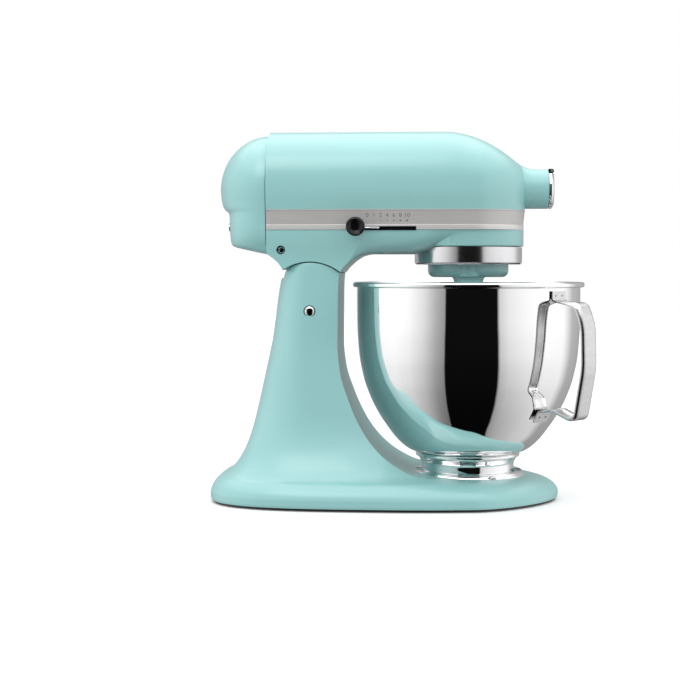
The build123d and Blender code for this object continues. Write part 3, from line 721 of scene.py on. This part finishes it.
# --- speed slot and scale
SLOT_REAR, SLOT_FRONT, SLOT_Z = -107.0, -49.0, 259.7
SLOT_Y = side_width(BAND_LIP, head_width(SLOT_REAR))
NUMBER_Z, DOT_Z = 270.1, 267.0


def build_slot():
    block("speed_slot", (SLOT_REAR, -SLOT_Y - 1.05, SLOT_Z - 1.9), (SLOT_FRONT, -SLOT_Y + 1.5, SLOT_Z + 1.9),
          black_gloss, "head", 0.3, slot="black_plastic")


def on_flank(name, curve, s, z, proud):
    """Lays a flat text curve on the speed lever's side, reading forward."""
    tilt = math.atan(band_face(s, z + 0.5) - band_face(s, z - 0.5))
    piece = add_object(name, curve)
    graph = bpy.context.evaluated_depsgraph_get()
    graph.update()
    mesh = bpy.data.meshes.new_from_object(piece.evaluated_get(graph))
    bpy.data.objects.remove(piece)
    place = Matrix.Translation(Vector((AXIS + s, -band_face(s, z) - proud, z)) * MM)
    mesh.transform(place @ Matrix.Rotation(math.pi / 2 + tilt, 4, "X"))
    mesh.materials.clear()
    mesh.materials.append(print_ink)
    piece = add_object(name, mesh)
    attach(piece, "head")


def build_scale():
    """Speed numbers with a dot under each, the dots growing with the speed."""
    places = spread(-94.5, -57.5, 7)
    for k, (s, label) in enumerate(zip(places, ("0", "1", "2", "4", "6", "8", "10"))):
        text = bpy.data.curves.new("figure", "FONT")
        text.body, text.align_x = label, "CENTER"
        text.size, text.extrude = 5.4 * MM, 0.05 * MM
        on_flank("speed_number_" + label, text, s, NUMBER_Z, 0.03)
        if k:
            profile = disc_profile(0.25 + 0.13 * k, 0, 0.12, 0.02)
            y = -band_face(s, DOT_Z) - 0.08
            lathe("speed_dot_" + label, [(r, y + h) for r, h in profile], print_ink, "head",
                  centre=(s, DOT_Z), axis="y", steps=24, slot="black_plastic")


build_slot()
build_scale()


# --- stand casting
# Stations up the stand: height, rear edge s, half width, s of the widest place, s and half width of the
# front crease, s of the front face's middle, and how sharp the crease is.
STAND = [
    (3.0, -246.4, 100.4, -75, 5, 94.2, 86.4, 0), (5.5, -247, 101, -75, 5, 94.8, 87, 0),
    (9.5, -247, 101, -75, 5, 94.8, 87, 0), (13, -246, 100.2, -75, 5, 93.8, 85.3, 0),
    (16.5, -244.5, 98.6, -76, 5, 91.3, 82, 0), (19.5, -242.5, 96.3, -78, 5, 87.5, 77.5, 0),
    (22, -240, 93.8, -80, 6, 82, 71, 0), (23.6, -238, 91.8, -84, 8, 75, 63, 0),
    (24.5, -236.5, 90.3, -88, 10, 68, 50, 0), (25.0, -235, 89, -92, 0, 66, 25, 0.15),
    (25.8, -233.5, 87.5, -96, -18, 67, -15, 0.35), (27, -231.8, 85.8, -100, -35, 68, -42, 0.6),
    (29, -229, 83.5, -104, -49, 67.5, -58, 0.85), (32, -226, 80.8, -108, -57, 67, -66, 1),
    (36, -222.5, 77.6, -112, -64.5, 66.2, -73, 1), (42, -218.5, 73.8, -116, -73.7, 64.5, -81.5, 1),
    (49, -214.8, 70.3, -120, -82, 63, -89.5, 1), (58, -211.2, 66.8, -125, -90.3, 61, -97, 1),
    (70, -207.5, 63.2, -130, -98.7, 58.8, -104.5, 1), (85, -203.8, 60, -136, -106.6, 56.5, -111, 1),
    (103, -199.8, 57.2, -142, -113.8, 53.5, -117, 1), (125, -194.9, 54.0, -148, -120.5, 50.2, -122.5, 1),
    (150, -189.4, 51.6, -150, -123, 47.8, -124.3, 1), (180, -183.2, 49.9, -150, -122.7, 46.2, -123.5, 1),
    (217, -176.4, 48.6, -149, -121, 44.8, -121.5, 1),
]
REAR_STEPS, FLANK_STEPS, FRONT_STEPS = 26, 22, 26
BETWEEN = 5                # outlines from one station to the next
DRUM_FROM = 150.0          # above this the outlines fan out to follow the column's rounded top
EAR_IN = 31.5              # inner half width of the two ears


def stand_outline(station):
    """Half outline of the stand at one station, from the rear middle to the front middle."""
    z, rear, half, widest, crease_s, crease_y, front, fold = station
    power = lerp(3.4, 2.35, ease((z - 20) / 90))
    points = []
    for k in range(REAR_STEPS):
        a = math.pi / 2 * k / REAR_STEPS
        back = (widest - rear) * math.cos(a) ** (2 / power)
        points.append((widest - back, half * math.sin(a) ** (2 / power)))
    for k in range(FLANK_STEPS):
        t = k / FLANK_STEPS
        points.append((lerp(widest, crease_s, t), half - (half - crease_y) * t * t))
    slope = -2 * (half - crease_y) / (crease_s - widest)
    along = Vector((1, slope)).normalized() * (front - crease_s) * 0.42
    across = Vector(((front - crease_s) * 0.5, -crease_y * 0.35))
    first = Vector((crease_s, crease_y)) + along.lerp(across, fold)
    second = (front, crease_y * lerp(0.40, 0.38, fold))
    for k in range(FRONT_STEPS + 1):
        points.append(bezier((crease_s, crease_y), first, second, (front, 0.0), k / FRONT_STEPS))
    return points


def stand_rows():
    count = (len(STAND) - 1) * BETWEEN + 1
    columns = [[(i, station[c]) for i, station in enumerate(STAND)] for c in range(8)]
    rows = []
    for k in range(count):
        station = [track(column, k / BETWEEN) for column in columns]
        z = station[0]
        rise = ease((z - DRUM_FROM) / (STAND[-1][0] - DRUM_FROM))
        row = []
        for s, y in stand_outline(station):
            reach = clamp(s - PIN_S, -DRUM_R + 4, DRUM_R - 4)
            drum = PIN_Z + math.sqrt(DRUM_R ** 2 - reach ** 2)
            row.append((s, y, lerp(z, drum, rise) if z > DRUM_FROM else z))
        rows.append(row)
    return rows


def build_stand():
    """The casting, with a slot between its ears for the head's tongue and an opening behind the slot."""
    rows = stand_rows()
    points, faces = mirrored(rows, 1)
    count, offset = len(rows[0]), len(points) // 2
    for base in (0, offset - count):
        faces += [(k, k + 1, offset + k + 1, offset + k) for k in range(base, base + count - 1)]
    stand = new_piece("stand_casting", points, faces, enamel, "stand", slot="enamel", merge=0.01, sharp=30)
    for name, rear, front, half, low in (("slot", -22, 23, EAR_IN, 150), ("mouth", -60, 23, EAR_IN, 213),
                                         ("window", -70, -15, 17, 172)):
        cut = block(name, (PIN_S + rear, -half, low), (PIN_S + front, half, 260), enamel, None)
        combine(stand, cut, "DIFFERENCE")
    shade(stand, 30)
    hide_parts("base_stand")


def build_base_shadow_skirt():
    """A thin black skirt just inside the base's lower edge, painted shade for the shadow gap under the base."""
    edge = stand_outline(STAND[0])
    edge += [(s, -y) for s, y in reversed(edge[1:-1])]
    edge = [(-80 + (s + 80) * 0.988, y * 0.985) for s, y in edge]
    points = [(AXIS + s, y, z) for z in (0.8, 3.4) for s, y in edge]
    faces = grid_faces(2, len(edge), wrap_columns=True)
    faces += [tuple(range(len(edge))), tuple(range(2 * len(edge) - 1, len(edge) - 1, -1))]
    # Black matte here is painted shade: it stands in for the shadow gap under the base's edge.
    plate = new_piece("base_shadow_skirt", points, faces, black_matte, "stand", slot="steel")
    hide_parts("base_plate")


build_stand()
build_base_shadow_skirt()


# --- bowl
RIM_R, RIM_Z, BODY_R, WALL = 111.0, 209.2, 107.0, 1.2
FLOOR_Z, CURVE_TOP, LIP_LOW = 45.5, 190.0, 203.4    # underside, end of the curved wall, start of the lip
HANDLE_BEARING = -41.0     # degrees round from straight ahead


def bowl_wall(inset):
    """Outside (or inside) line of the bowl from the foot bead up to the lip."""
    stations = [(FLOOR_Z, 48), (48.2, 56), (53, 63), (60, 70), (70, 77.6), (82, 85.6), (98, 93.8),
                (118, 100.8), (142, 105.2), (168, 106.8), (CURVE_TOP, BODY_R)]
    line = []
    for a in spread(0, math.pi / 2, 64):
        z = FLOOR_Z + (CURVE_TOP - FLOOR_Z) * (1 - math.cos(a)) ** 1.25
        ahead, behind = track(stations, z + 0.3), track(stations, z - 0.3)
        normal = Vector((0.6, -(ahead - behind))).normalized()
        line.append((track(stations, z) - normal.x * inset, z - normal.y * inset))
    return line + [(BODY_R - inset, z) for z in spread(192, 203, 5)]


def build_bowl():
    lip = rounded([(BODY_R, LIP_LOW), (BODY_R, 204.6, 1.0), (RIM_R - 0.2, 204.2, 1.5), (RIM_R, RIM_Z, 2.0),
                   (BODY_R - WALL - 0.2, RIM_Z, 1.6), (BODY_R - WALL, LIP_LOW)], 8, closed=False)
    inside = bowl_wall(WALL)[::-1]
    profile = [(0.0, FLOOR_Z)] + bowl_wall(0.0) + lip + inside + [(0.0, FLOOR_Z + WALL)]
    bowl = lathe("bowl_shell", profile, mirror_steel, "bowl", steps=256, slot="polished_steel", sharp=60)
    bowl.data.materials.append(bowl_inside)
    middle = Vector((AXIS * MM, 0, 0))
    for face in bowl.data.polygons:
        away = (face.center - middle).to_2d()
        z = face.center.z / MM
        inward = face.normal.to_2d().dot(away) < -1e-6 or (face.normal.z > 0.9 and z < 60)
        if inward and z < LIP_LOW + 0.1:
            face.material_index = 1
    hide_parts("bowl")


build_bowl()


def build_foot():
    profile = rounded([(43.0, 22), (44.5, 22), (44.6, 36, 6), (47.5, 41.2, 3), (50, 42.2, 1.2),
                       (50.4, 44.2, 1.2), (49.0, 45.6, 1), (44, 45.6), (43.0, 38)], 6)
    foot = lathe("bowl_foot_ring", profile, mirror_steel, "bowl", steps=192, slot="polished_steel", sharp=50)
    for k in range(4):
        lug = block("lug", (43.6, -7.4, 22), (49.5, 7.4, 24.4), mirror_steel, None, 0.4)
        turn_about_bowl(lug, 90 * k - 30)
        combine(foot, lug, "UNION")
    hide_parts("bowl_foot")


build_foot()


def build_clamp_plate():
    profile = rounded([(20, 19), (55, 19), (55, 24.6, 1.2), (52.6, 28, 1.6), (47, 28, 1.2), (45.4, 27, 0.4),
                       (45.4, 24.8), (51, 24.8), (51, 21), (20, 21)], 5)
    plate = lathe("clamp_plate_ring", profile, mirror_steel, "stand", steps=192, slot="polished_steel",
                  sharp=50)
    for k in range(4):
        gap = block("gap", (42, -10.2, 24.2), (51.2, 10.2, 32), mirror_steel, None)
        turn_about_bowl(gap, 90 * k)
        combine(plate, gap, "DIFFERENCE")
    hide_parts("bowl_clamp_plate")


build_clamp_plate()


STRAP = 1.5                # thickness of the handle


def handle_path():
    """Centre line of the strap in (radius, height), from the top tab round to the lower tab."""
    corners = [(107.9, 201.5), (107.9, 192.4, 3.0), (135, 190.8, 9.0), (143.4, 172, 60), (144.4, 132, 80),
               (135.6, 86.0, 8.0), (125.5, 84.4, 7.0), (106, 91.5, 8), (93.2, 90.4, 2.5), (87.2, 80.0)]
    return rounded(corners, 9, closed=False)


def build_handle():
    """A strap with rolled edges swept along the handle's line, with flat tabs at both ends."""
    path = [Vector((r, 0, z)) for r, z in handle_path()]
    lengths = [0.0]
    for a, b in zip(path, path[1:]):
        lengths.append(lengths[-1] + (b - a).length)
    total = lengths[-1]
    points = []
    for i, (here, run) in enumerate(zip(path, lengths)):
        ahead = path[min(i + 1, len(path) - 1)] - path[max(i - 1, 0)]
        ahead.normalize()
        outward = Vector((-ahead.z, 0, ahead.x))
        grip = ease((run - 14) / 16) * ease((total - 14 - run) / 16)
        half = lerp(10.0, 10.6, grip)
        roll = lerp(0.05, 2.6, grip)
        section = []
        for u in spread(-1, 1, 17):
            bend = roll * clamp((abs(u) - 0.62) / 0.38) ** 1.8
            section.append((half * u, STRAP / 2 - bend))
        section += [(y, d - STRAP) for y, d in reversed(section)]
        points += [here + outward * d + Vector((0, y, 0)) for y, d in section]
    count = len(section)
    faces = grid_faces(len(path), count, wrap_columns=True)
    faces += [tuple(range(count)), tuple(range(len(points) - 1, len(points) - count - 1, -1))]
    turn = Matrix.Rotation(math.radians(HANDLE_BEARING), 4, "Z")
    points = [turn @ p + Vector((AXIS, 0, 0)) for p in points]
    handle = new_piece("bowl_handle_strap", points, faces, handle_steel, "bowl", slot="polished_steel",
                       sharp=60)
    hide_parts("bowl_handle")


def build_welds():
    """Spot welds on the handle's tabs, two at either end."""
    profile = [(0.0, 0.12), (0.55, 0.12), (0.95, 0.34), (1.3, 0.0), (1.3, -0.3), (0.0, -0.3)]
    turn = Matrix.Translation((AXIS * MM, 0, 0)) @ Matrix.Rotation(math.radians(HANDLE_BEARING), 4, "Z")
    for name, r, z, lean in (("upper", 108.75, 197.4, 0), ("lower", 90.9, 84.6, 31)):
        for side in (-1, 1):
            weld = lathe(f"weld_{name}_{side + 1}", profile, steel, None, centre=(-AXIS, 0), steps=20)
            place = Matrix.Translation(Vector((r, side * 4.6, z)) * MM)
            weld.data.transform(turn @ place @ Matrix.Rotation(math.radians(90 + lean), 4, "Y"))
            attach(weld, "bowl")


build_handle()
build_welds()


# --- planetary and drip ring
def build_planetary():
    outline = rounded([(0, 214), (38.6, 214, 8.2), (38.6, 226.4), (24, 226.4), (24, 229), (0, 229)], 10)
    body = lathe("planetary_body", outline, enamel, "planetary", steps=160, slot="enamel")
    boss = [(6.05, 194.6), (12.0, 194.6), (13.4, 196.2), (13.7, 200), (13.9, 210)]
    boss += [(13.9 + 3.4 * (1 - math.cos(a)), 210 + 4.6 * math.sin(a)) for a in spread(0.1, math.pi / 2, 10)]
    flare = lathe("boss", boss + [(13.9, 215.5), (13.9, 225.9), (6.05, 225.9)], enamel, None,
                  centre=(0, BEATER_Y), steps=96)
    combine(body, flare, "UNION")
    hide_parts("planetary_housing")


def build_beater_drive():
    shaft = [(0, 172.6), (4.6, 172.6), (6, 174.2), (6, 224), (0, 224)]
    shaft = lathe("beater_shaft_turned", shaft, steel, "beater_drive", centre=(0, BEATER_Y), slot="steel",
                  steps=64)
    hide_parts("beater_shaft")
    pin = lathe("beater_pin_turned", disc_profile(1.6, -10.5, 10.5, 0.5), chrome, "beater_drive",
                centre=(BEATER_Y, 181), axis="x", slot="steel", steps=32)
    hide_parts("beater_pin")


def build_drip_ring():
    ring = rounded([(46.5, 230), (47.6, 226.6, 0.8), (50.0, 225.9, 0.8), (51.5, 227.6, 1.2), (51.5, 242.3),
                    (46.5, 242.3)], 5)
    ring = lathe("drip_ring_turned", ring, brushed_ring, "head", steps=192, slot="chrome", sharp=50)
    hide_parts("drip_ring")


build_planetary()
build_beater_drive()
build_drip_ring()


# --- fasteners, knobs and levers
def build_pin():
    outer = track([(station[0], station[2]) for station in STAND], PIN_Z) + 1.5
    for side, name in ((-1, "right"), (1, "left")):
        face = [(0, 1.35), (2.6, 1.2), (4.1, 0.75), (4.75, 0.0), (4.75, -6.0), (0, -6.0)]
        profile = [(r, side * (outer - 1.35 + h)) for r, h in face]
        lathe("tilt_pin_" + name, profile, chrome, "stand", centre=(PIN_S, PIN_Z), axis="y",
                            slot="chrome", steps=64)
        collar = [(4.8, -0.6), (5.6, -0.6), (5.6, 0.25), (5.2, 0.4), (4.8, 0.25)]
        lathe("pin_collar_" + name, [(r, side * (outer - 1.2 + h)) for r, h in collar], black_matte, "stand",
              centre=(PIN_S, PIN_Z), axis="y", slot="grey_plastic", steps=64)
    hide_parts("tilt_pin")


build_pin()


def build_side_screws():
    first = None
    for side, name in ((-1, "right"), (1, "left")):
        profile = rounded([(0, 45.6), (3.3, 45.6), (3.3, 48.0, 1.1), (0, 48.6)], 5)
        screw = lathe("side_screw_" + name, [(r, side * h) for r, h in profile], chrome, "head",
                      centre=(SCREW_S, SCREW_Z), axis="y", slot="chrome", steps=48)
        low, high = sorted((side * 47.6, side * 50))
        slit = block("slit", (SCREW_S - 3.6, low, SCREW_Z - 0.5), (SCREW_S + 3.6, high, SCREW_Z + 0.5),
                     chrome, None)
        combine(screw, slit, "DIFFERENCE")
        first = first or screw
    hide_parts("side_screws")


build_side_screws()


def build_speed_knob():
    s, z = centre_mm("speed_knob")[::2]
    y = box_mm("speed_knob")[1][1]
    face = [(0, -8.2), (3.6, -8.3), (5.4, -9.0), (6.3, -10.0), (7.2, -10.3), (8.2, -9.4), (8.9, -7.2),
            (9.0, -4.6), (8.5, -2.2), (7.2, -0.6), (5.0, 0.0), (0, 0.0)]
    knob = lathe("speed_knob_turned", [(r, y + h) for r, h in face], black_gloss, "speed_control",
                 centre=(s, z), axis="y", slot="black_plastic", steps=96, sharp=50)
    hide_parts("speed_knob")
    rod = [(0, s + 7.5), (0.75, s + 7.5), (0.9, s + 8.0), (0.9, s + 21.0), (0.4, s + 21.8), (0, s + 21.8)]
    rod = lathe("speed_lever_rod", rod, chrome, "speed_control", centre=(-SLOT_Y - 2.1, SLOT_Z + 0.4),
                axis="x", slot="chrome", steps=32)
    lathe("speed_lever_stem", disc_profile(3.0, -SLOT_Y - 4.5, -SLOT_Y - 1.15), steel, "speed_control",
          centre=(s, SLOT_Z), axis="y", slot="chrome", steps=40)
    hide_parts("speed_lever")


build_speed_knob()


def build_lock():
    s, z = LOCK_S, LOCK_Z
    outline = rounded([(s - 5.4, z + 5.4, 5), (s + 5.4, z + 5.4, 5), (s + 4.2, z - 10, 8),
                       (s + 3.4, z - 27, 3), (s - 3.4, z - 27, 3), (s - 4.2, z - 10, 8)], 6)
    arm = slab("lock_lever_arm", outline, 51.2, 54.6, steel, "lock", bevel=0.7, slot="steel")
    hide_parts("lock_lever")
    lathe("lock_shaft", disc_profile(4.0, 20, 52), steel, "lock", centre=(s, z), axis="y", slot="steel",
          steps=48)
    low, high = box_mm("lock_knob")
    profile = rounded([(0, low[1]), (3.4, low[1], 0.6), (3.6, low[1] + 4, 3), (4.7, high[1] - 3.5, 3),
                       (4.4, high[1], 1.8), (0, high[1])], 6)
    knob = lathe("lock_knob_turned", profile, black_gloss, "lock", axis="y", slot="black_plastic", steps=64,
                 centre=centre_mm("lock_knob")[::2])
    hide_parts("lock_knob")


build_lock()


def build_hub_cover():
    low, high = box_mm("hub_cover")
    s0, s1 = low[0] - AXIS, high[0] - AXIS
    face = rounded([(0, s0), (18.6, s0, 0.4), (19, s0 + 2.2, 0.8), (17.6, s0 + 3.4, 0.8),
                    (15.6, s1 - 0.5, 0.8), (10, s1, 3), (0, s1)], 5)
    cover = lathe("hub_cover_cap", face, chrome, "hub_cover", centre=(0, HUB_Z), axis="x", slot="chrome",
                  steps=128, sharp=50)
    flat = block("flat", (s0 - 1, -20, HUB_Z + 14.3), (s1 + 1, 20, HUB_Z + 22), chrome, None)
    combine(cover, flat, "DIFFERENCE")
    tab = block("tab", (s0 + 1.0, -4.5, HUB_Z + 11.5), (s0 + 4.0, 4.5, HINGE_Z), chrome, None, 0.3)
    combine(cover, tab, "UNION")
    knuckle = lathe("knuckle", disc_profile(2.2, -4.5, 4.5, 0.3), chrome, None, centre=(HINGE_S, HINGE_Z),
                    axis="y", steps=40)
    combine(cover, knuckle, "UNION")
    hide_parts("hub_cover")


def build_hub_hinge():
    inner, outer = 4.8, 8.0
    for side in (-1, 1):
        profile = [(r, side * h) for r, h in disc_profile(2.2, inner, outer, 0.5)]
        ear = lathe(f"hub_ear_{side + 1}", profile, black_gloss, "head", centre=(HINGE_S, HINGE_Z), axis="y",
                    slot="black_plastic", steps=40)
        y0, y1 = sorted((side * inner, side * outer))
        foot = block("ear_foot", (HUB_END - 0.2, y0, HUB_Z + 15.2), (HINGE_S, y1, HINGE_Z + 2.1), black_gloss,
                     None, 0.4)
        combine(ear, foot, "UNION")
        if side < 0:
            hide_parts("hub_hinge")
    lathe("hub_hinge_pin", disc_profile(1.1, -8.2, 8.2, 0.3), steel, "head", centre=(HINGE_S, HINGE_Z),
          axis="y", slot="steel", steps=32)


build_hub_cover()
build_hub_hinge()


def build_hub_knob():
    low, high = box_mm("hub_knob")
    s, z = centre_mm("hub_knob")[::2]
    radius, lobes, steps = (high[2] - low[2]) / 2 + 0.1, 8, 96
    profile = rounded([(0, low[1]), (6.0, low[1], 0.8), (7.0, low[1] + 3, 2), (radius, low[1] + 4.5, 1.5),
                       (radius, high[1], 1.6), (0, high[1] - 0.4)], 5)
    points = []
    for k in range(steps):
        a = 2 * math.pi * k / steps
        dent = 1.3 * max(0.0, math.cos(lobes * a)) ** 2
        for r, h in profile:
            r -= dent * ease((r - 7.5) / 2.0)
            points.append((AXIS + s + r * math.cos(a), h, z + r * math.sin(a)))
    faces = grid_faces(steps, len(profile), wrap_rows=True, wrap_columns=True)
    knob = new_piece("hub_knob_turned", points, faces, black_gloss, "hub_knob", slot="black_plastic",
                     merge=0.002)
    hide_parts("hub_knob")


build_hub_knob()


# --- floor
def build_floor():
    """A pale floor that takes the mixer's shadow but throws no light back on it."""
    mesh = bpy.data.meshes.new("floor")
    reach = 6000 * MM
    mesh.from_pydata([(-reach, -reach, 0), (reach, -reach, 0), (reach, reach, 0), (-reach, reach, 0)], [],
                     [(0, 1, 2, 3)])
    white = finish_material("floor_white", (0.93, 0.93, 0.93), 0.005, 0.9, grain=2)
    shader = white.node_tree.nodes["Principled BSDF"]
    shader.inputs["Specular IOR Level"].default_value = 0.0
    shader.inputs["Emission Color"].default_value = (1, 1, 1, 1)
    shader.inputs["Emission Strength"].default_value = 0.12
    mesh.materials.append(white)
    floor = add_object("floor", mesh)
    floor.visible_diffuse = floor.visible_glossy = False


build_floor()
